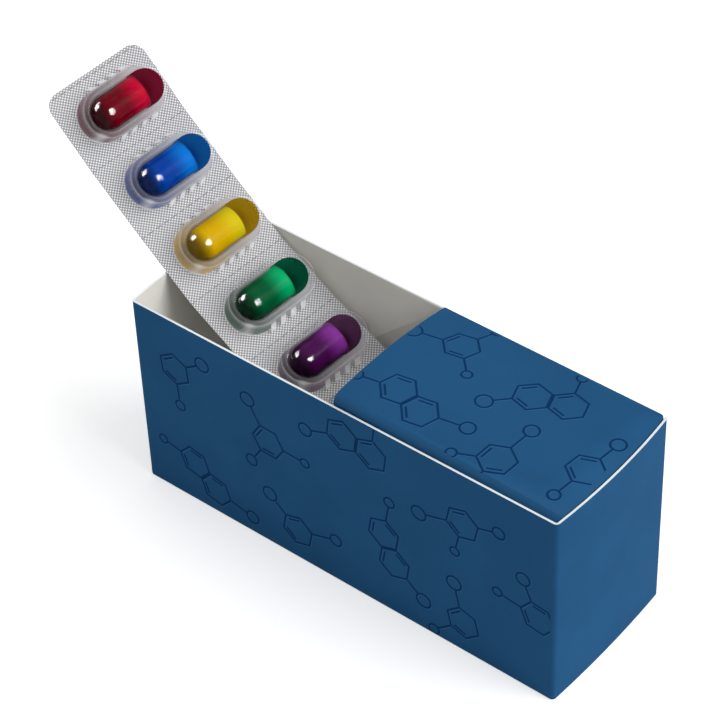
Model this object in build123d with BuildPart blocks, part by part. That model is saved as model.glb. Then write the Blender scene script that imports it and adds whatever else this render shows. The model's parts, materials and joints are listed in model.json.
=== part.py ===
"""A small board carton with a half lid, and a blister strip of liquid capsules leaning out of it.

Millimetres, +Z up. The origin is the middle of the carton's underside, +X runs along its length
to the covered end, and the front wall faces -Y.
"""

import os
from math import asin, atan2, ceil, cos, degrees, hypot, radians, sin

from build123d import *

# Carton
box_length = 130.0
box_width = 44.5
box_height = 60.0
board = 0.6
fold_radius = 1.2
right_bow_top = 1.2
right_bow_bottom = 0.7
left_bow = 0.3
base_fold = 0.5
dust_flap = 26.0
dust_flap_taper = 6.0
seam_inset = 1.6
seam_width = 0.4

# Lid, with the flaps that tuck it in at the front and at the covered end
lid_start = -0.9
lid_gap = 0.3
lid_end_gap = 0.4
hinge_gap = 0.2
crown_left = 1.7
crown_right = 0.2
fold_rise_left = 2.2
fold_rise_right = -0.1
front_fold_radius = 2.2
front_flap = 11.0
flap_corner = 4.0
side_flap = 13.0
side_flap_step = 3.0
side_flap_taper = 3.0
flap_notch = 2.6
lid_corner = 1.2

# Blister strip: its sheets, its cells and the blisters on them
film = 0.3
foil = 0.12
strip_width = 31.0
strip_corner = 4.0
cell_pitch = 20.5
end_margin = 1.0
blister_offset = 1.5
skirt_spread = 0.4
ledge = 1.3
rib_count = 4
rib_pitch = 3.4
rib_width = 1.7
rib_stand = 0.9
rib_drop = 0.6

# How the strip leans: turned and rolled a little, bent at its perforations
strip_turn = 8.0
strip_roll = 6.6
leaning_slopes = [45.0, 40.5, 38.3, 28.2, 22.6]
tail_fan = 12.0
steepest_tail = 64.0
rest_distance = 52.5
rest_place = -9.2
seat_gap = 0.25

# Capsules, each loose in its blister
capsule_length = 21.6
capsule_diameter = 9.6
capsule_room = 0.2
capsule_lift = 0.15
capsule_wall = 0.35
liquid_gap = 0.02
liquid_share = 0.6
meniscus_radius = 7.0

front_inside = -box_width / 2 + board
right_inside = box_length / 2 - board
floor_top = 2 * board


def wall_plan(height, right_bow, inset):
    """Plan of the carton at a height, both end walls bowed outward, moved in by inset."""
    half_length = box_length / 2
    half_width = box_width / 2
    with BuildSketch(Plane.XY.offset(height)) as plan:
        with BuildLine():
            Line((-half_length, -half_width), (half_length, -half_width))
            ThreePointArc((half_length, -half_width), (half_length + right_bow, 0), (half_length, half_width))
            Line((half_length, half_width), (-half_length, half_width))
            ThreePointArc((-half_length, half_width), (-half_length - left_bow, 0), (-half_length, -half_width))
        make_face()
        fillet(plan.vertices(), fold_radius)
        if inset:
            offset(amount=-inset, mode=Mode.REPLACE)
    return plan.sketch


# Carton: four walls in a ring, a two-layer floor and the dust flaps on it, folded from one sheet
with BuildPart() as carton:
    loft([wall_plan(0, right_bow_bottom, 0).face(), wall_plan(box_height, right_bow_top, 0).face()])
    fillet(carton.faces().sort_by(Axis.Z)[0].edges(), base_fold)
    inside_floor = wall_plan(floor_top, right_bow_bottom, board)
    inside_mouth = wall_plan(box_height, right_bow_top, board)
    loft([inside_floor.face(), inside_mouth.face()], mode=Mode.SUBTRACT)
    # Dust flaps lie on the floor at both ends, their free corners cut back
    for end in (-1, 1):
        root = end * (box_length / 2 - board / 2)
        tip = end * (right_inside - dust_flap)
        reach = -front_inside + board / 2
        with BuildSketch(Plane.XY.offset(floor_top)):
            Polygon(
                (root, -reach),
                (root, reach),
                (tip, reach - dust_flap_taper),
                (tip, dust_flap_taper - reach),
                align=None,
            )
        extrude(amount=board)
    # The outer bottom panel is free along the back and both ends
    with BuildSketch():
        Rectangle(box_length - 2 * seam_inset, box_width - 2 * seam_inset)
        Rectangle(
            box_length - 2 * (seam_inset + seam_width),
            box_width - 2 * (seam_inset + seam_width),
            mode=Mode.SUBTRACT,
        )
        with Locations((0, -box_width / 2)):
            Rectangle(box_length, 2 * (seam_inset + 2 * seam_width), mode=Mode.SUBTRACT)
    extrude(amount=board, mode=Mode.SUBTRACT)
    # The back wall is cut lower where the lid folds over it
    hinge_run = right_inside - (lid_start - lid_gap)
    with BuildSketch(Plane.XY.offset(box_height - board - hinge_gap)):
        with Locations((lid_start - lid_gap, box_width / 2 + board)):
            Rectangle(hinge_run, 2 * board + 2 * base_fold, align=(Align.MIN, Align.MAX))
    extrude(amount=2 * board, mode=Mode.SUBTRACT)
carton.part.label = "carton"


def lid_section(place, crown, rise):
    """Section of the lid from its hinge over the arched panel to the end of the tucked flap."""
    hinge = Vector(box_width / 2, box_height)
    fold = Vector(front_inside + lid_gap, box_height + rise)
    middle = (hinge + fold) / 2 + Vector(0, crown)
    # The flap leans in far enough to swing past the front wall as the lid opens
    swing = hinge.X - fold.X
    tip = Vector(hinge.X - (swing**2 - front_flap**2) ** 0.5, box_height - front_flap)
    with BuildSketch(Plane.YZ.offset(place)) as section:
        with BuildLine():
            ThreePointArc(hinge, middle, fold)
            Line(fold, tip)
            offset(amount=board, side=Side.LEFT)
        make_face()
        fillet(section.vertices().sort_by_distance(fold)[0], front_fold_radius)
        inner_fold = fold + Vector(board, -board)
        fillet(section.vertices().sort_by_distance(inner_fold)[0], front_fold_radius - board)
    return section.sketch


def lid_end_line():
    """The lid's edge at the covered end, bowed like the wall that it lies against."""
    edge = right_inside - lid_end_gap
    half_width = box_width / 2
    return ThreePointArc((edge, -half_width), (edge + right_bow_top, 0), (edge, half_width))


# Side flap, which runs down inside the bowed end wall
with BuildPart() as side_tuck:
    with BuildSketch(Plane.XY.offset(box_height - side_flap)):
        with BuildLine():
            offset(lid_end_line(), amount=board, side=Side.LEFT)
        make_face()
    extrude(amount=side_flap - board / 2)
    with BuildSketch(Plane.YZ.offset(right_inside - flap_notch)):
        front_end = front_inside + side_flap_step
        back_end = -front_inside - side_flap_step
        Polygon(
            (front_end, box_height),
            (front_end + side_flap_taper, box_height - side_flap),
            (back_end - side_flap_taper, box_height - side_flap),
            (back_end, box_height),
            align=None,
        )
    extrude(amount=2 * flap_notch, mode=Mode.INTERSECT)

# Lid: a panel hinged on the back wall, with its front flap, and the side flap folded down with it
with BuildPart() as lid:
    beyond_end = right_inside + right_bow_top
    open_edge = lid_section(lid_start, crown_left, fold_rise_left)
    covered_edge = lid_section(beyond_end, crown_right, fold_rise_right)
    loft([open_edge.face(), covered_edge.face()])
    with BuildSketch() as panel_plan:
        with BuildLine():
            end_line = lid_end_line()
            Polyline(end_line @ 1, (lid_start, box_width / 2), (lid_start, -box_width / 2), end_line @ 0)
        make_face()
        fillet(panel_plan.vertices().sort_by(Axis.X)[-2:], lid_corner)
    extrude(amount=2 * box_height, mode=Mode.INTERSECT)
    # The front flap stops short of the side flap
    with BuildSketch(Plane.XZ.offset(-front_inside / 2)):
        with Locations((right_inside - flap_notch, box_height - 2 * board)):
            Rectangle(2 * flap_notch, 2 * front_flap, align=(Align.MIN, Align.MAX))
    extrude(amount=box_width / 2, mode=Mode.SUBTRACT)
    flap_ends = lid.edges().filter_by_position(Axis.Z, box_height - front_flap - board, box_height - front_flap + board)
    fillet(flap_ends.filter_by(lambda edge: edge.length < 2 * board), flap_corner)
    add(side_tuck.part)
lid.part.label = "lid"

# The strip's directions: across its width, level along it, and square to both
turn = radians(strip_turn)
roll = radians(strip_roll)
across = Vector(sin(turn) * cos(roll), cos(turn) * cos(roll), sin(roll))
level = Vector(cos(turn), -sin(turn), 0)
upright = level.cross(across)


def walk(slopes, lengths):
    """Points along a line that drops at each slope in turn, in degrees, seen from the strip's edge."""
    points = [Vector(0, 0)]
    for slope, length in zip(slopes, lengths):
        points.append(points[-1] + Vector(length, 0).rotate(Axis.Z, -slope))
    return points


# The strip's front edge rests on the inner edge of the uncovered end wall
lean_lengths = [cell_pitch + end_margin] + [cell_pitch] * (len(leaning_slopes) - 1)
lean = walk(leaning_slopes, lean_lengths)
passed = 0
while sum(lean_lengths[: passed + 1]) < rest_distance:
    passed += 1
rest = lean[passed] + Vector(rest_distance - sum(lean_lengths[:passed]), 0).rotate(
    Axis.Z, -leaning_slopes[passed]
)
rest_point = Vector(-right_inside, rest_place, box_height + seat_gap + foil)
strip_top = rest_point - level * rest.X - upright * rest.Y + across * (strip_width / 2)

# Its hidden cells bend down until the rounded front corner stands on the floor
front_height = strip_top.Z + lean[-1].Y * upright.Z - across.Z * strip_width / 2
steep = sin(radians(steepest_tail))
corner_rise = strip_corner * (steep + across.Z - hypot(steep, across.Z))
drop = (front_height + corner_rise - floor_top - seat_gap - foil) / upright.Z
tail_count = ceil(drop / (cell_pitch * steep))
tail_lengths = [cell_pitch] * (tail_count - 1) + [cell_pitch + end_margin]
tail_turns = [tail_fan * (index / max(tail_count - 1, 1) - 0.5) for index in range(tail_count)]
straight_part = sum(length * cos(radians(turned)) for turned, length in zip(tail_turns, tail_lengths))
bent_part = sum(length * sin(radians(turned)) for turned, length in zip(tail_turns, tail_lengths))
tail_slope = asin(drop / hypot(straight_part, bent_part)) - atan2(bent_part, straight_part)
slopes = leaning_slopes + [degrees(tail_slope) + turned for turned in tail_turns]
cell_lengths = lean_lengths + tail_lengths
knots = walk(slopes, cell_lengths)
strip_side = Plane(origin=strip_top, x_dir=level, z_dir=-across)


def bent_layer(low, high):
    """Side view of one sheet of the strip, between two heights over the foil's bond."""
    lower, upper = [], []
    for index, knot in enumerate(knots):
        before = slopes[max(index - 1, 0)]
        after = slopes[min(index, len(slopes) - 1)]
        square = Vector(0, 1 / cos(radians(after - before) / 2)).rotate(Axis.Z, -(before + after) / 2)
        lower.append(tuple(knot + square * low)[:2])
        upper.append(tuple(knot + square * high)[:2])
    return lower + upper[::-1]


def strip_sheet(low, high):
    """One bent sheet of the strip, with its end corners rounded."""
    with BuildPart() as sheet:
        with BuildSketch(strip_side):
            Polygon(*bent_layer(low, high), align=None)
        extrude(amount=strip_width / 2, both=True)
        corners = []
        for end in (knots[0], knots[-1]):
            end_middle = strip_side.from_local_coords(end)
            across_thickness = sheet.edges().filter_by(lambda edge: edge.length < 2 * (high - low))
            corners += across_thickness.sort_by_distance(end_middle)[:2]
        fillet(corners, strip_corner)
    return sheet.part


# Each cell's own plane: its middle on the bond, x down the strip, y across it, z out of it
cells = []
for slope, knot in zip(slopes, knots):
    start = end_margin if knot is knots[0] else 0
    middle = knot + Vector(start + cell_pitch / 2, 0).rotate(Axis.Z, -slope)
    along = level * cos(radians(slope)) - upright * sin(radians(slope))
    out = along.cross(across)
    cells.append(Plane(strip_side.from_local_coords(middle) + across * blister_offset, along, out))


# The crown of a blister is round about the axis of the capsule in it, over a ledge at that height
axis_height = capsule_lift + capsule_diameter / 2
crown_length = capsule_length + 2 * capsule_room
crown_width = capsule_diameter + 2 * capsule_room
ledge_length = crown_length + 2 * ledge
ledge_width = crown_width + 2 * ledge


def blister_form(grow):
    """Outside or inside of one blister: a drafted skirt up to the ledge, and the crown over it."""
    with BuildPart() as form:
        with BuildSketch():
            foot_grow = 2 * (skirt_spread + grow)
            SlotOverall(ledge_length + foot_grow, ledge_width + foot_grow, rotation=90)
        with BuildSketch(Plane.XY.offset(axis_height + grow)):
            SlotOverall(ledge_length + 2 * grow, ledge_width + 2 * grow, rotation=90)
        loft()
        with BuildSketch(Plane.XY.offset(axis_height)):
            SlotOverall(crown_length + 2 * grow, crown_width + 2 * grow, rotation=90)
            split(bisect_by=Plane.YZ, keep=Keep.TOP)
        revolve(axis=Axis((0, 0, axis_height), (0, -1, 0)), revolution_arc=180)
    return form.part


def blister_ribs():
    """The upright ribs that stiffen the skirt on both of its long sides."""
    rib_foot = ledge_width / 2 + skirt_spread + film + rib_stand
    rib_top = ledge_width / 2 + film
    rib_height = axis_height - rib_drop
    first = -rib_pitch * (rib_count - 1) / 2
    with BuildPart() as ribs:
        with BuildSketch(*[Plane.XZ.offset(first + rib_pitch * index) for index in range(rib_count)]):
            Polygon((0, 0), (rib_foot, 0), (rib_top, rib_height), (0, rib_height), align=None)
            mirror(about=Plane.YZ)
        extrude(amount=rib_width / 2, both=True)
    return ribs.part


# Film, formed into a blister at each cell, and the foil bonded to its back
with BuildPart() as blister_film:
    add(strip_sheet(0, film))
    with Locations(*cells):
        add(blister_form(film))
        add(blister_ribs())
        add(blister_form(0), mode=Mode.SUBTRACT)
blister_film.part.label = "blister_film"

with BuildPart() as lidding_foil:
    add(strip_sheet(-foil, 0))
lidding_foil.part.label = "lidding_foil"


def pill(length, diameter):
    """A round-ended solid along Y."""
    with BuildPart() as solid:
        with BuildSketch():
            SlotOverall(length, diameter, rotation=90)
            split(bisect_by=Plane.YZ, keep=Keep.TOP)
        revolve(axis=Axis.Y)
    return solid.part


# Capsule: a soft clear shell, and the liquid that fills it but for a bubble at one end
hollow = 2 * capsule_wall
with BuildPart() as capsule_shell:
    add(pill(capsule_length, capsule_diameter))
    add(pill(capsule_length - hollow, capsule_diameter - hollow), mode=Mode.SUBTRACT)

filled = hollow + 2 * liquid_gap
with BuildPart() as capsule_liquid:
    add(pill(capsule_length - filled, capsule_diameter - filled))
    with Locations((0, capsule_length * (liquid_share - 0.5) + meniscus_radius)):
        Sphere(meniscus_radius, mode=Mode.SUBTRACT)

os.makedirs("parts", exist_ok=True)
export_step(carton.part, "parts/carton.step")
export_step(lid.part, "parts/lid.step")
export_step(blister_film.part, "parts/blister_film.step")
export_step(lidding_foil.part, "parts/lidding_foil.step")
lying = Location((0, 0, axis_height))
for number, cell in enumerate(cells, 1):
    for name, piece in (("shell", capsule_shell), ("liquid", capsule_liquid)):
        placed = piece.part.moved(cell.location * lying)
        placed.label = f"capsule_{number}_{name}"
        export_step(placed, f"parts/{placed.label}.step")
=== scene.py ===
"""A board carton with a half lid, and a blister strip of liquid capsules leaning out of it."""

import json
from collections import namedtuple
from math import atan2, cos, pi, radians, sin

import bmesh
import bpy
from mathutils import Matrix, Vector
from mathutils.bvhtree import BVHTree

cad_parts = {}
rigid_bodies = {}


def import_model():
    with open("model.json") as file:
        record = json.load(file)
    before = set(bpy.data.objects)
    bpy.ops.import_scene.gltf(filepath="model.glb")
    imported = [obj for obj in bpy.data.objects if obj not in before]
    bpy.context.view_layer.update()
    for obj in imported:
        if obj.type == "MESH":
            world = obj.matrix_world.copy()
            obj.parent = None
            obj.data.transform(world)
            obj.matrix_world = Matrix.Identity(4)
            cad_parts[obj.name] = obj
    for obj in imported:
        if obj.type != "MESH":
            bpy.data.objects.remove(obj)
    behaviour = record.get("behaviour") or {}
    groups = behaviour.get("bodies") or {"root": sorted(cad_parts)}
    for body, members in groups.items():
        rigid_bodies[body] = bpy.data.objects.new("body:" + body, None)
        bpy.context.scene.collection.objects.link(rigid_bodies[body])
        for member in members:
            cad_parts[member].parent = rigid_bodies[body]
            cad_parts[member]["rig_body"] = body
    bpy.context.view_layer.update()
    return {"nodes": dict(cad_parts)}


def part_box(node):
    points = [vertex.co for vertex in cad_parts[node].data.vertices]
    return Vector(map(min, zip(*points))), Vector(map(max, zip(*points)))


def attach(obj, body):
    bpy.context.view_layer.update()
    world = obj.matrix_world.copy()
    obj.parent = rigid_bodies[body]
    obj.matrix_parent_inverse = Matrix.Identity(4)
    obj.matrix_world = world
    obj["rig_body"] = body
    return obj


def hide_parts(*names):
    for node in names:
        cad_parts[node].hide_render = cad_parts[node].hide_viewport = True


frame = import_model()
nodes = frame["nodes"]
mm = 0.001

# Camera: a long lens that looks down on the pack from its right front corner, tilted a little,
# as the carton's corners in the photograph give it.
azimuth = radians(-40.4565)
elevation = radians(41.9945)
roll = radians(-2.458)
viewpoint = Vector((311.34, -376.95, 499.59)) * mm
sight = Vector((sin(azimuth) * cos(elevation), cos(azimuth) * cos(elevation), -sin(elevation)))
flat_right = Vector((cos(azimuth), -sin(azimuth), 0))
flat_up = flat_right.cross(sight)
right = flat_right * cos(roll) + flat_up * sin(roll)
up = flat_up * cos(roll) - flat_right * sin(roll)
turned = Matrix((right, up, -sight)).transposed().to_4x4()
camera_data = bpy.data.cameras.new("camera")
camera_data.sensor_width = 36
camera_data.lens = 136.39
camera = bpy.data.objects.new("camera", camera_data)
camera.matrix_world = Matrix.Translation(viewpoint) @ turned
bpy.context.scene.collection.objects.link(camera)
bpy.context.scene.camera = camera
bpy.context.scene.view_settings.view_transform = "Standard"


# Studio: a white floor that keeps the pack's soft shadow, a white surround, one broad lamp from
# the right and a little behind, which leaves the front wall in soft shade, and two softboxes
# that show as a bright patch on whatever is glossy, and light nothing else.
class Field:
    """A shader socket. Arithmetic on it adds Math nodes, and node() adds any other kind."""

    def __init__(self, tree, socket=None):
        self.tree = tree
        self.socket = socket

    def node(self, kind, inputs, output=0, stops=(), steps="LINEAR", **settings):
        """Adds a node: its settings first, then each input as a value or a link."""
        added = self.tree.nodes.new("ShaderNode" + kind)
        for setting, value in settings.items():
            setattr(added, setting, value)
        if stops:
            ramp = added.color_ramp
            ramp.interpolation = steps
        for index, (place, color) in enumerate(stops):
            stop = ramp.elements[index] if index < 2 else ramp.elements.new(place)
            stop.position = place
            stop.color = color
        for name, value in inputs.items():
            if isinstance(value, Field):
                self.tree.links.new(value.socket, added.inputs[name])
            else:
                added.inputs[name].default_value = value
        return Field(self.tree, added.outputs[output])

    def math(self, operation, *terms, clamp=False):
        return self.node("Math", dict(enumerate(terms)), operation=operation, use_clamp=clamp)

    def __add__(self, other):
        return self.math("ADD", self, other)

    def __radd__(self, other):
        return self.math("ADD", other, self)

    def __sub__(self, other):
        return self.math("SUBTRACT", self, other)

    def __rsub__(self, other):
        return self.math("SUBTRACT", other, self)

    def __mul__(self, other):
        return self.math("MULTIPLY", self, other)

    def __rmul__(self, other):
        return self.math("MULTIPLY", other, self)

    def ease(self, low, high):
        """0 below low, 1 above high, and smooth between them."""
        inputs = {"Value": self, "From Min": low, "From Max": high}
        return self.node("MapRange", inputs, interpolation_type="SMOOTHSTEP")

    def band(self, low, full, fade, high):
        """1 from full to fade, 0 below low and above high, and smooth between them."""
        return self.ease(low, full) * (1 - self.ease(fade, high))

    def blend(self, first, second):
        """The first colour where this is 0, the second where it is 1."""
        inputs = {0: self, 6: first, 7: second}
        return self.node("Mix", inputs, output=2, data_type="RGBA", clamp_factor=True)


def rgb(red, green, blue):
    """A colour written as it shows on a screen, 0 to 255, as the shader's own numbers."""
    shown = [channel / 255 for channel in (red, green, blue)]
    return [(c / 12.92 if c <= 0.04045 else ((c + 0.055) / 1.055) ** 2.4) for c in shown] + [1]


def dress(tree, kind, recipe, *terms):
    """Empties a node tree and gives it the shader that the recipe makes from its terms."""
    tree.nodes.clear()
    shader = recipe(Field(tree), *terms)
    output = tree.nodes.new("ShaderNodeOutput" + kind)
    tree.links.new(shader.socket, output.inputs["Surface"])


def material(name, recipe, *terms):
    made = bpy.data.materials.new(name)
    made.use_nodes = True
    dress(made.node_tree, "Material", recipe, *terms)
    return made


def add_object(name, data):
    added = bpy.data.objects.new(name, data)
    bpy.context.scene.collection.objects.link(added)
    return added


def add_shape(name, shape, finishes):
    """Puts a finished shape in the scene with its materials."""
    mesh = bpy.data.meshes.new(name)
    shape.to_mesh(mesh)
    shape.free()
    for finish in finishes:
        mesh.materials.append(finish)
    return add_object(name, mesh)


def seen_plainly(start):
    """1 for rays from the camera, a mirror or clear plastic, 0 for the light on the pack."""
    path = "LightPath"
    seen = start.node(path, {}, "Is Camera Ray") + start.node(path, {}, "Is Glossy Ray")
    return start.math("ADD", seen, start.node(path, {}, "Is Transmission Ray"), clamp=True)


white = rgb(255, 255, 255)
floor_half = 3
floor_glow = 0.5
sky_light = 0.48


def floor_recipe(start):
    lit = start.node("BsdfDiffuse", {"Color": rgb(240, 240, 240)})
    strength = seen_plainly(start) * floor_glow
    return start.node(
        "AddShader", {0: lit, 1: start.node("Emission", {"Color": white, "Strength": strength})}
    )


def surround_recipe(start):
    """Pure white where it is seen, and dimmer where it lights the pack."""
    strength = sky_light + seen_plainly(start) * (1 - sky_light)
    return start.node("Background", {"Color": white, "Strength": strength})


def softbox_recipe(start):
    """Bright until its light has bounced off something dull."""
    bounced = start.math("MINIMUM", start.node("LightPath", {}, "Diffuse Depth"), 1.0)
    return start.node("Emission", {"Color": white, "Strength": 1 - bounced})


shape = bmesh.new()
bmesh.ops.create_grid(shape, x_segments=1, y_segments=1, size=floor_half)
floor = add_shape("floor", shape, [material("floor", floor_recipe)])

world = bpy.data.worlds.new("surround")
world.use_nodes = True
dress(world.node_tree, "World", surround_recipe)
bpy.context.scene.world = world

lamp_side = Vector((0.68, 0.3, 0.68))
lamp_data = bpy.data.lights.new("broad_lamp", "SUN")
lamp_data.energy = 2.0
lamp_data.angle = radians(55)
lamp = add_object("broad_lamp", lamp_data)
lamp.rotation_euler = lamp_side.to_track_quat("Z", "Y").to_euler()
lamp.visible_glossy = False

softbox_distance = 1.2
for name, side, size, watts in (
    ("right_softbox", Vector((0.75, -0.2, 0.62)), 0.85, 265),
    ("left_softbox", Vector((-0.81, -0.33, 0.41)), 0.6, 130),
):
    softbox_data = bpy.data.lights.new(name, "AREA")
    softbox_data.size = size
    softbox_data.energy = watts
    softbox_data.use_nodes = True
    dress(softbox_data.node_tree, "Light", softbox_recipe)
    softbox = add_object(name, softbox_data)
    softbox.location = side.normalized() * softbox_distance
    softbox.rotation_euler = side.to_track_quat("Z", "Y").to_euler()
    softbox.visible_diffuse = False


# Carton: one sheet of white board, printed deep blue outside and bare inside, cut, creased and
# glued. Its cut edges show the white of the board.
def scaled(color, share):
    """A colour with that share of its light."""
    return [channel * share for channel in color[:3]] + [1]


def board_recipe(start, color, roughness, grain, gloss):
    """Coated or bare board: a faint cloudiness in its colour, and a fine tooth."""
    place = start.node("TexCoord", {}, "Object")
    cloud = start.node("TexNoise", {"Vector": place, "Scale": 45, "Detail": 3})
    tooth = start.node("TexNoise", {"Vector": place, "Scale": 2600, "Detail": 2})
    shade = cloud.ease(0.3, 0.7).blend(scaled(color, 0.94), scaled(color, 1.05))
    bump = start.node("Bump", {"Height": tooth, "Strength": grain, "Distance": 0.02 * mm})
    return start.node(
        "BsdfPrincipled",
        {"Base Color": shade, "Roughness": roughness, "Specular IOR Level": gloss, "Normal": bump},
    )


print_gloss = 0.004
print_roughness = 0.45
print_blue = material(
    "print_blue", board_recipe, rgb(38, 87, 130), print_roughness, 0.25, print_gloss
)
bare_board = material("bare_board", board_recipe, rgb(218, 216, 210), 0.8, 0.8, 0.0)
cut_edge = material("cut_edge", board_recipe, rgb(240, 246, 250), 0.7, 0.5, 0.0)
board_sides = [print_blue, bare_board, cut_edge]
printed, bare, edge = range(len(board_sides))

welded_within = 0.001 * mm
sharp_crease = radians(32)


def stand_in(node, name, choose, finishes, unroll=None, facing=None):
    """A merged copy of a solid, smooth but for its creases.

    Its faces take the chosen finishes, and those that choose none go. For each corner of a face,
    unroll gives its UV place, and facing the true direction of the surface or no direction.
    """
    shape = bmesh.new()
    shape.from_mesh(nodes[node].data)
    bmesh.ops.remove_doubles(shape, verts=shape.verts, dist=welded_within)
    shape.normal_update()
    laid = shape.loops.layers.uv.new("laid_flat")
    unseen = []
    directions = []
    for face in shape.faces:
        centre = face.calc_center_median()
        finish = choose(centre, face.normal)
        if finish is None:
            unseen.append(face)
            continue
        face.material_index = finish
        face.smooth = True
        for loop in face.loops:
            if unroll:
                loop[laid].uv = unroll(loop.vert.co, centre)
            if facing:
                directions.append(facing(loop.vert.co, centre, face.normal))
    bmesh.ops.delete(shape, geom=unseen, context="FACES")
    piece = add_shape(name, shape, finishes)
    piece.data.set_sharp_from_angle(angle=sharp_crease)
    if directions:
        piece.data.normals_split_custom_set(directions)
    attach(piece, nodes[node]["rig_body"])
    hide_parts(node)
    return piece


carton_low, carton_high = [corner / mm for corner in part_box("carton")]


def carton_face(centre, normal):
    """Which of the board's sides a face of the carton is on."""
    if normal.z > 0.7 and centre.z / mm > carton_high.z / 2:
        return edge
    outward = normal.x * centre.x + normal.y * centre.y > 0 and abs(normal.z) < 0.95
    return printed if outward or normal.z < -0.5 else bare


stand_in("carton", "carton_board", carton_face, board_sides)


# Lid: a panel on its crease along the back wall, arched a little, with its front and side flaps
# tucked in. It is the same printed board, blue above and bare below.
def lid_face(centre, normal):
    """Which of the board's sides a face of the lid is on."""
    if abs(normal.x) > 0.8 and centre.x < 0:
        return edge
    outward = normal.z > 0.3 or normal.x > 0.5 or (normal.y < -0.5 and centre.y < 0)
    return printed if outward else bare


lid = stand_in("lid", "lid_board", lid_face, board_sides)

# Print: thin darker figures of rings, bonds and dots on the front wall and the lid. Each line
# has a lighter copy beside it, a painted highlight on the edge of a line pressed in a little.
# Their layout is a plain one.
ink_width = 0.5
ink_lift = 0.05
highlight_offset = 0.2
ring_radius = 5.2
ring_sides = 6
ring_step = 2 * ring_radius * cos(pi / ring_sides)
second_line = ring_radius - 3 * ink_width
dot_sides = 20
inks = [
    material("dark_ink", board_recipe, rgb(16, 54, 98), print_roughness, 0.2, print_gloss),
    material("painted_highlight_ink", board_recipe, rgb(46, 100, 150), print_roughness, 0.2, print_gloss),
]


def draw_ring(shape, centre, radius, sides, turn=0.0):
    """A closed ring of one line's width."""
    place = Matrix.Translation((*centre, 0)) @ Matrix.Rotation(turn, 4, "Z")
    made = bmesh.ops.create_circle(
        shape, cap_ends=True, segments=sides, radius=radius, matrix=place
    )
    disc = made["verts"][0].link_faces[0]
    bmesh.ops.inset_region(
        shape, faces=[disc], thickness=ink_width, use_even_offset=True, use_boundary=True
    )
    bmesh.ops.delete(shape, geom=[disc], context="FACES_ONLY")


def draw_bond(shape, start, end):
    """A straight line of one line's width."""
    run = Vector(end) - Vector(start)
    middle = (Vector(start) + Vector(end)) / 2
    place = Matrix.Translation((*middle, 0)) @ Matrix.Rotation(atan2(run.y, run.x), 4, "Z")
    size = Matrix.Diagonal((run.length / 2, ink_width / 2, 1, 1))
    bmesh.ops.create_grid(shape, x_segments=6, y_segments=1, size=1, matrix=place @ size)


def polar(centre, radius, angle):
    return (centre[0] + radius * cos(angle), centre[1] + radius * sin(angle))


def draw_figure(shape, centre, turn, rings, arms):
    """Fused rings in a row, with a second line inside some sides, and arms that end in a dot."""
    corners = [turn + (0.5 + corner) * 2 * pi / ring_sides for corner in range(ring_sides)]
    for index in range(rings):
        middle = polar(centre, ring_step * index, turn)
        draw_ring(shape, middle, ring_radius, ring_sides, turn)
        for side in (1, 3):
            ends = [polar(middle, second_line, corners[corner]) for corner in (side, side + 1)]
            draw_bond(shape, *ends)
    for corner, reach, dot in arms:
        middle = polar(centre, ring_step * (rings - 1), turn) if corner <= 1 else centre
        angle = corners[corner]
        tip = polar(middle, ring_radius + reach, angle)
        draw_bond(shape, polar(middle, ring_radius, angle), tip)
        draw_ring(shape, polar(tip, dot, angle), dot, dot_sides)


def all_of(shape):
    return shape.verts[:] + shape.edges[:] + shape.faces[:]


def print_figures(name, body, layout, low, high, place):
    """Draws the layout flat, trims it to its panel and puts each point in place on the board."""
    shape = bmesh.new()
    for centre, turn, rings, arms in layout:
        draw_figure(shape, centre, radians(turn), rings, arms)
    for limit, across_x, across_y in ((low, -1, 0), (low, 0, -1), (high, 1, 0), (high, 0, 1)):
        bmesh.ops.bisect_plane(
            shape,
            geom=all_of(shape),
            plane_co=(*limit, 0),
            plane_no=(across_x, across_y, 0),
            clear_outer=True,
        )
    # A lighter copy of the figures, moved aside and a little lower: a painted highlight on one edge
    # of each line
    under = bmesh.ops.duplicate(shape, geom=all_of(shape))["geom"]
    lower = [item for item in under if isinstance(item, bmesh.types.BMVert)]
    bmesh.ops.translate(shape, verts=lower, vec=(highlight_offset, -highlight_offset, -ink_lift / 2))
    for item in under:
        if isinstance(item, bmesh.types.BMFace):
            item.material_index = 1
    for vert in shape.verts:
        vert.co = place(vert.co) * mm
    piece = add_shape(name, shape, inks)
    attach(piece, body)


def surface_of(thing):
    """The surface of an object, to find points on it."""
    mesh = thing.data
    return BVHTree.FromPolygons([v.co for v in mesh.vertices], [p.vertices for p in mesh.polygons])


# Each figure: the centre of its first ring, its turn in degrees, how many rings it has, and its
# arms, each with the corner that it leaves from, its length and the radius of its dot
front_layout = [
    ((-52, 44), 4, 1, [(0, 4, 2.4), (4, 5, 1.8)]),
    ((-48, 14), -42, 2, [(0, 5, 2.2), (3, 4, 1.6)]),
    ((-22, 36), 28, 1, [(1, 5, 2.4), (3, 4, 2.0), (5, 5, 1.6)]),
    ((-14, 10), -12, 1, [(0, 6, 2.0), (2, 4, 2.4)]),
    ((2, 52), -8, 2, [(3, 5, 2.2), (1, 4, 1.6)]),
    ((14, 26), -70, 2, [(0, 4, 2.4), (2, 5, 1.8)]),
    ((38, 44), -12, 1, [(0, 4, 2.0), (3, 6, 2.4), (4, 4, 1.6)]),
    ((38, 10), 12, 1, [(1, 5, 2.4), (3, 5, 1.8)]),
    ((60, 26), -38, 1, [(2, 4, 2.2), (3, 5, 1.6)]),
]
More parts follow.
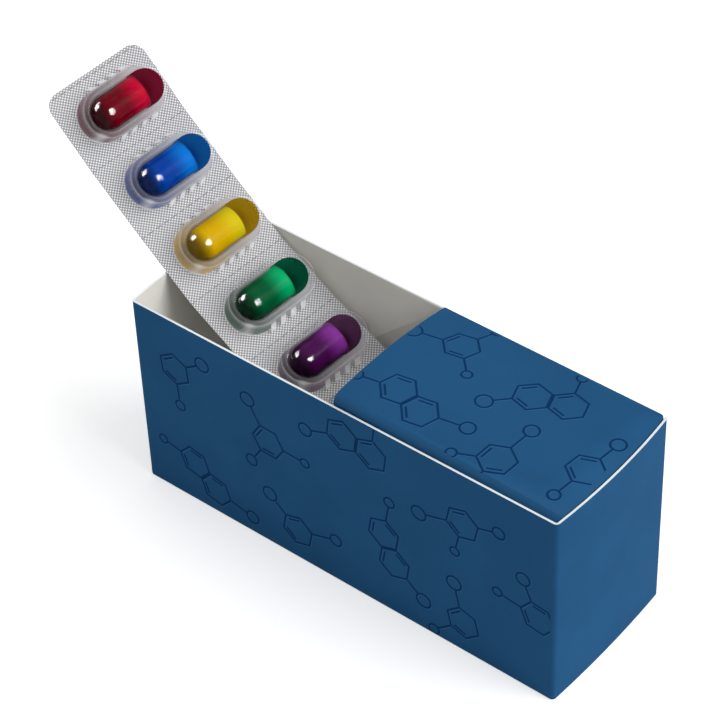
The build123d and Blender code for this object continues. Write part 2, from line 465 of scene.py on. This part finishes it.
lid_layout = [
    ((12, 12), 44, 1, [(0, 4, 2.0), (2, 5, 2.4), (4, 4, 1.6)]),
    ((10, -10), -18, 2, [(0, 5, 2.2), (3, 4, 1.8)]),
    ((36, 8), 18, 2, [(3, 4, 2.4), (1, 4, 1.6)]),
    ((42, -14), 56, 1, [(0, 5, 2.2), (3, 4, 1.8), (2, 4, 1.6)]),
    ((60, -4), -6, 1, [(1, 4, 2.2), (4, 4, 1.8)]),
]

# The figures stop a little short of the edges and creases of their panel
front_half = (carton_high.x - carton_low.x) / 2 - 2
front_bottom = 0.6
front_top = carton_high.z - 0.4
lid_low, lid_high = [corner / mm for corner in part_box("lid")]
lid_start = (lid_low.x + 0.6, lid_low.y + 1.5)
lid_end = (lid_high.x - 1.5, lid_high.y - 0.8)
lid_surface = surface_of(lid)


def on_front(at):
    """The point of the front wall behind a point of the flat drawing."""
    return Vector((at.x, carton_low.y - ink_lift - at.z, at.y))


def on_lid(at):
    """The point of the lid's upper side below a point of the flat drawing."""
    over = Vector((at.x, at.y, 2 * lid_high.z)) * mm
    hit = lid_surface.ray_cast(over, Vector((0, 0, -1)))[0]
    return Vector((at.x, at.y, hit.z / mm + ink_lift + at.z))


print_figures(
    "front_print",
    "carton",
    front_layout,
    (-front_half, front_bottom),
    (front_half, front_top),
    on_front,
)
print_figures("lid_print", "lid", lid_layout, lid_start, lid_end, on_lid)

# Lidding foil: soft aluminium sealed to the film's back in a knurled press. The seal is dimpled
# all over, and the foil stays smooth under the capsules and is slit across between the cells. The
# tops of the dimples are painted white, a painted sheen, and the smooth pocket under each capsule
# has a painted coloured shade from its capsule.
strip_turn = radians(8)
strip_roll = radians(6.6)
across = Vector(
    (sin(strip_turn) * cos(strip_roll), cos(strip_turn) * cos(strip_roll), sin(strip_roll))
)
cell_pitch = 20.5
cell_colors = ["red", "blue", "yellow", "green", "purple", "red", "blue"]
foil_surface = surface_of(nodes["lidding_foil"])
Cell = namedtuple("Cell", "index foot along out middle")
cells = []
for number in range(1, len(cell_colors) + 1):
    middle = sum(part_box(f"capsule_{number}_shell"), Vector()) / 2
    foot = foil_surface.find_nearest(middle)[0]
    away = (middle - foot).normalized()
    cells.append(Cell(number - 1, foot, across.cross(away), away, middle))


def cell_at(point):
    """The cell nearest to a point."""
    return min(cells, key=lambda cell: (point - cell.foot).length)


def on_strip(point, centre):
    """Place along and across the strip, both in cells, as if it were laid flat."""
    cell = cell_at(centre)
    from_foot = point - cell.foot
    pitch = cell_pitch * mm
    return (cell.index + 0.5 + from_foot.dot(cell.along) / pitch, from_foot.dot(across) / pitch)


# In millimetres: half of a capsule's straight part, the height of the flat sheet above the foil,
# and the radius where the round crown of a blister ends
half_straight = 6.0
sheet_top = 0.45
crown_radius = 5.5


def around_capsule(point, cell):
    """From the nearest point of a capsule's axis to a point, in millimetres."""
    from_middle = (point - cell.middle) / mm
    reach = max(-half_straight, min(half_straight, from_middle.dot(across)))
    return from_middle - across * reach


def above_foil(point, cell):
    return (point - cell.foot).dot(cell.out) / mm


def strip_facing(point, centre, normal):
    """Flat on the sheet between the blisters, round on their crowns, and open elsewhere."""
    cell = cell_at(centre)
    if above_foil(centre, cell) < sheet_top and abs(normal.dot(cell.out)) > 0.99:
        return normal.copy()
    from_axis = around_capsule(centre, cell)
    if from_axis.length < crown_radius and from_axis.dot(cell.out) > 0:
        return around_capsule(point, cell).normalized()
    return Vector()


def flat_place(start):
    """Place along and across the strip, or along a capsule and up, as the UV map has it."""
    flat = start.node("TexCoord", {}, "UV")
    return [start.node("SeparateXYZ", {0: flat}, axis) for axis in "XY"]


def beside_capsule(start, along, side):
    """Distance of a place on the strip from its capsule's axis, seen from above, in millimetres."""
    in_cell = (start.math("FRACT", along) - 0.5) * cell_pitch
    beyond = start.math("ABSOLUTE", side * cell_pitch) - half_straight
    past_end = start.math("MAXIMUM", beyond, 0.0)
    return start.math("SQRT", in_cell * in_cell + past_end * past_end)


# Of each colour: the liquid in its painted shade, the liquid in its painted light beside the
# bubble, and the shell's painted shade over the bubble
capsule_colors = {
    "red": (rgb(126, 0, 24), rgb(226, 0, 56), rgb(192, 96, 126)),
    "blue": (rgb(0, 72, 182), rgb(0, 138, 248), rgb(88, 166, 216)),
    "yellow": (rgb(252, 200, 0), rgb(255, 230, 20), rgb(224, 202, 92)),
    "green": (rgb(0, 102, 58), rgb(0, 205, 125), rgb(76, 172, 146)),
    "purple": (rgb(86, 18, 90), rgb(160, 62, 180), rgb(176, 138, 172)),
}
dot_gap = 0.5
row_gap = 0.46
dash_gap = 2.6
pocket_edge = (6.5, 6.9)
slit_edge = (0.04, 0.12)
pocket_shade_share = 0.45


def foil_recipe(start, pockets):
    """Dimpled foil with a painted sheen on the dimples' tops. On the side that faces the film, the
    pocket under each capsule is smooth, with a painted coloured shade from its capsule.
    """
    along, side = flat_place(start)
    # Dimples in staggered rows, grey between them and painted white on top as a painted sheen
    rows = along * (cell_pitch / (2 * row_gap))
    dots = side * (cell_pitch / (2 * dot_gap))
    rising, falling = [start.math("COSINE", run * (2 * pi)) for run in (rows + dots, rows - dots)]
    dimple = (rising + falling).ease(-0.6, 1.8)
    knurl_with_sheen = dimple.blend(rgb(160, 160, 163), white)
    # The pocket under a capsule, with a painted coloured shade from its capsule, strongest at its
    # low end
    pocket = (1 - beside_capsule(start, along, side).ease(*pocket_edge)) * pockets
    count = len(cell_colors)
    capsule_shade_stops = [(index / count, capsule_colors[name][0]) for index, name in enumerate(cell_colors)]
    capsule_shade_color = start.node("ValToRGB", {0: along * (1 / count)}, stops=capsule_shade_stops, steps="CONSTANT")
    capsule_shade_inputs = {0: pocket_shade_share, 6: rgb(124, 122, 127), 7: capsule_shade_color}
    painted_capsule_shade = start.node("Mix", capsule_shade_inputs, output=2, data_type="RGBA")
    # The pocket's colour: the painted coloured shade at its low end, a lighter grey toward its high
    # side
    smooth = side.ease(-0.55, 0.3).blend(painted_capsule_shade, rgb(192, 191, 193))
    # A dashed slit across the strip between the cells
    from_middle = start.math("ABSOLUTE", (start.math("FRACT", along) - 0.5) * cell_pitch)
    from_slit = 0.5 * cell_pitch - from_middle
    dash = start.math("FRACT", side * (cell_pitch / dash_gap)).ease(0.3, 0.34)
    slit = (1 - from_slit.ease(*slit_edge)) * dash
    shade = slit.blend(pocket.blend(knurl_with_sheen, smooth), rgb(120, 120, 122))
    height = dimple * (1 - pocket)
    bump = start.node("Bump", {"Height": height, "Strength": 0.4, "Distance": 0.04 * mm})
    return start.node(
        "BsdfPrincipled",
        {"Base Color": shade, "Roughness": 0.5, "Specular IOR Level": 0.0, "Normal": bump},
    )


def foil_face(centre, normal):
    """Which side of the foil a face is on: the one under the film, or the open back."""
    return 0 if normal.dot(cell_at(centre).out) > 0 else 1


foil_sides = [
    material("sealed_foil", foil_recipe, 1.0),
    material("open_foil", foil_recipe, 0.0),
]
stand_in(
    "lidding_foil", "knurled_backing", foil_face, foil_sides, on_strip, strip_facing
)

# Film: clear plastic formed by heat into a ribbed blister over each capsule. It shows by its
# gloss where it is seen edge on, and it is a little milky on its ribs and bends, where that
# whiteness is also a painted highlight for the light the film bends. A painted bright patch lies
# at the low end of each blister.

# Each bend: how far from a capsule's axis it starts, is full, fades and ends, in millimetres
crown_bend = (5.15, 5.35, 5.4, 5.65)
ledge_bend = (6.3, 6.55, 6.6, 6.75)
foot_bend = (6.85, 7.0, 7.1, 7.35)
drawn_skirt = (5.3, 5.5, 6.8, 7.1)
# The painted bright patch at a blister's low end: where it starts, is full, fades and ends
painted_light_patch = (5.6, 6.2, 6.9, 7.3)
bend_milkiness_and_highlight = [(crown_bend, 0.16), (ledge_bend, 0.24), (foot_bend, 0.22), (drawn_skirt, 0.05)]
painted_light_patch_strength = 0.5
grazing = (0.085, 0.7)
grazing_gloss = 0.7


def film_recipe(start, milkiness):
    """Clear film, with its milkiness between the bends and more on them, partly a painted
    highlight, a painted bright patch at each blister's low end, and its gloss on the outside only.
    """
    along, side = flat_place(start)
    beside = beside_capsule(start, along, side)
    # Milkiness rising on the bends: partly the whitening of drawn film, partly a painted highlight
    milky = milkiness
    for bend, strength in bend_milkiness_and_highlight:
        milky = milky + beside.band(*bend) * strength
    # A painted bright patch near the low end of each blister, for light that the film gathers there
    on_painted_light_patch = (1 - side.ease(-0.56, -0.46)) * beside.band(*painted_light_patch)
    toward_next = (start.math("FRACT", along) - 0.5).ease(0.1, 0.22)
    milky = milky + on_painted_light_patch * toward_next * painted_light_patch_strength
    outside = 1 - start.node("NewGeometry", {}, "Backfacing")
    edge_on = start.node("Fresnel", {"IOR": 1.5}).ease(*grazing) * grazing_gloss * outside
    gloss = start.node("BsdfGlossy", {"Color": white, "Roughness": 0.08})
    clear = start.node("BsdfTransparent", {"Color": rgb(253, 253, 254)})
    haze = start.node("BsdfDiffuse", {"Color": rgb(248, 248, 250)})
    body = start.node("MixShader", {0: milky, 1: clear, 2: haze})
    return start.node("MixShader", {0: edge_on, 1: body, 2: gloss})


# The ribs stand out past the skirt, which leans in by its draft from its foot up
skirt_foot = 7.1
skirt_draft = 0.08


def film_face(centre, normal):
    """Which finish a face of the film has: plain or ribbed. Its inner side isn't needed."""
    cell = cell_at(centre)
    height = above_foil(centre, cell)
    if height < sheet_top:
        return None if normal.dot(cell.out) < -0.5 else 0
    if normal.dot(around_capsule(centre, cell)) < 0.05:
        return None
    from_axis = abs((centre - cell.foot).dot(cell.along)) / mm
    return 1 if from_axis > skirt_foot - skirt_draft * height else 0


film_finishes = [
    material("clear_film", film_recipe, 0.0),
    # The ribs' milkiness is partly real whitening and partly a painted highlight of the light they
    # bend
    material("ribbed_film", film_recipe, 0.65),
]
stand_in(
    "blister_film", "formed_film", film_face, film_finishes, on_strip, strip_facing
)

# Capsules: a soft shell of coloured gelatine, round at both ends, filled with coloured liquid but
# for a bubble at one end. The liquid has a painted light beside the bubble and a painted shade at
# its closed end and low down, and the shell a painted shade over the bubble.
capsule_length = 21.6
capsule_diameter = 9.6
outer_skin = capsule_diameter / 2 - 0.15
bubble_start = 0.675
liquid_shade_share = 0.22
liquid_gloss = 0.34


def liquid_recipe(start, colors):
    """Clear coloured liquid, with a painted shade at its closed end and low down, and a painted
    light beside the bubble.
    """
    along, height = flat_place(start)
    liquid_in_shade, liquid_in_light = colors[:2]
    # Painted light: brighter along the capsule toward the bubble
    lit = along.ease(0.36, bubble_start - 0.03).blend(liquid_in_shade, liquid_in_light)
    # Painted shade at the closed end and low down, toward the foil
    full = along.ease(0.05, 0.22) * height.ease(0.42, 0.74)
    shade = full.blend(scaled(liquid_in_shade, liquid_shade_share), lit)
    body = start.node(
        "BsdfPrincipled", {"Base Color": shade, "Roughness": 0.5, "Specular IOR Level": 0.0}
    )
    gloss = start.node("BsdfGlossy", {"Color": white, "Roughness": 0.1})
    reflected = start.node("Fresnel", {"IOR": 1.4}) * liquid_gloss
    return start.node("MixShader", {0: reflected, 1: body, 2: gloss})


def shell_recipe(start, colors):
    """Gelatine, almost clear over the liquid, and a dark coloured filter over the bubble as a
    painted shade.
    """
    along = flat_place(start)[0]
    clear = start.node("BsdfTransparent", {"Color": rgb(238, 238, 238)})
    # The painted shade over the bubble
    dark = start.node("BsdfTransparent", {"Color": colors[2]})
    over_bubble = along.ease(bubble_start - 0.01, bubble_start + 0.01)
    return start.node("MixShader", {0: over_bubble, 1: clear, 2: dark})


def on_capsule(point, centre):
    """Place along a capsule and up from the foil, both from 0 to 1."""
    cell = cell_at(centre)
    from_middle = (point - cell.middle) / mm
    along = from_middle.dot(across) / capsule_length
    height = from_middle.dot(cell.out) / capsule_diameter
    return (along + 0.5, height + 0.5)


def liquid_face(centre, normal):
    return 0


def shell_face(centre, normal):
    """The outer skin, without the inner one that lies against the liquid."""
    return 0 if around_capsule(centre, cell_at(centre)).length > outer_skin else None


def capsule_facing(point, centre, normal):
    """Round wherever the surface faces away from the axis, and open at the bubble's edge."""
    away = around_capsule(point, cell_at(centre)).normalized()
    return away if normal.dot(away) > 0.9 else Vector()


finishes = {}
for color, colors in capsule_colors.items():
    finishes[color, "liquid"] = material(f"{color}_liquid", liquid_recipe, colors)
    finishes[color, "shell"] = material(f"{color}_shell", shell_recipe, colors)
for number, color in enumerate(cell_colors, 1):
    for part, choose in (("liquid", liquid_face), ("shell", shell_face)):
        stand_in(
            f"capsule_{number}_{part}",
            f"{part}_{number}",
            choose,
            [finishes[color, part]],
            on_capsule,
            capsule_facing,
        )
